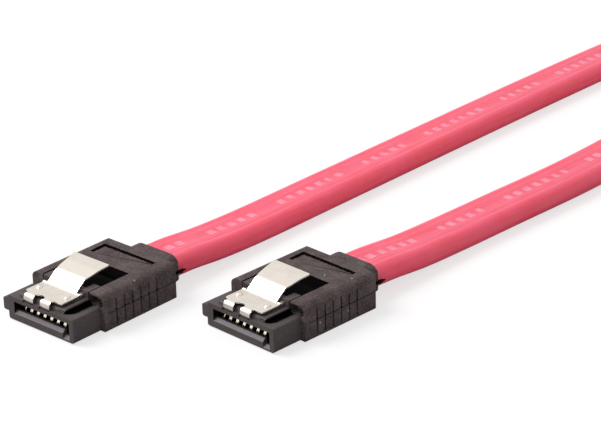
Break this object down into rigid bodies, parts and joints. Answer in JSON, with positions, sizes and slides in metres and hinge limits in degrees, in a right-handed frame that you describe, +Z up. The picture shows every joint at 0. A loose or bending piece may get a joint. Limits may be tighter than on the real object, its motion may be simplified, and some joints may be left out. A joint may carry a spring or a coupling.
{
  "type": "serial data cable",
  "caption": "Flat flexible data cable with a keyed latching plug on each end, each plug with a sprung metal clip, laid out with its spare length folded and tied.",
  "frame": {"origin": "on the surface that the plugs lie on, under the middle of the two plugs' common box", "axes": "+Y back from the mating faces along the cable, +X along plug a's contact row, +Z up"},
  "size_m": [0.0449, 0.2609, 0.0082],
  "materials": {
    "housing_black": "fine satin moulded plastic",
    "grip_black": "matt, finely textured moulded plastic",
    "clip_steel": "satin stamped spring steel",
    "contact_gold": "bright plated",
    "wire_insulation": "smooth insulation",
    "drain_wire": "tinned wire",
    "jacket_red": "soft satin cable jacket",
    "tie_black": "smooth nylon"
  },
  "bodies": {
    "cable_assembly": {"nose_housing_a": "housing_black", "overmould_a": "grip_black", "contact_1_a": "contact_gold", "contact_2_a": "contact_gold", "contact_3_a": "contact_gold", "contact_4_a": "contact_gold", "contact_5_a": "contact_gold", "contact_6_a": "contact_gold", "contact_7_a": "contact_gold", "signal_wire_1_a": "wire_insulation", "signal_wire_2_a": "wire_insulation", "signal_wire_3_a": "wire_insulation", "signal_wire_4_a": "wire_insulation", "ground_wire_1_a": "drain_wire", "ground_wire_2_a": "drain_wire", "ground_wire_3_a": "drain_wire", "nose_housing_b": "housing_black", "overmould_b": "grip_black", "contact_1_b": "contact_gold", "contact_2_b": "contact_gold", "contact_3_b": "contact_gold", "contact_4_b": "contact_gold", "contact_5_b": "contact_gold", "contact_6_b": "contact_gold", "contact_7_b": "contact_gold", "signal_wire_1_b": "wire_insulation", "signal_wire_2_b": "wire_insulation", "signal_wire_3_b": "wire_insulation", "signal_wire_4_b": "wire_insulation", "ground_wire_1_b": "drain_wire", "ground_wire_2_b": "drain_wire", "ground_wire_3_b": "drain_wire", "cable_jacket": "jacket_red", "stow_tie": "tie_black"},
    "latch_a": {"latch_clip_a": "clip_steel"},
    "latch_b": {"latch_clip_b": "clip_steel"}
  },
  "joints": [
    {"name": "latch_a_press", "type": "hinge", "parent": "cable_assembly", "child": "latch_a", "pos_m": [-0.01177, -0.01735, 0.00375], "axis": [-1, 0, 0], "range_deg": [0, 2.6], "stiffness_Nm_per_rad": 0.05, "springref_deg": -2.86},
    {"name": "latch_b_press", "type": "hinge", "parent": "cable_assembly", "child": "latch_b", "pos_m": [0.00987, -0.00277, 0.00375], "axis": [-0.9985, 0.0551, 0], "range_deg": [0, 2.6], "stiffness_Nm_per_rad": 0.05, "springref_deg": -2.86}
  ]
}
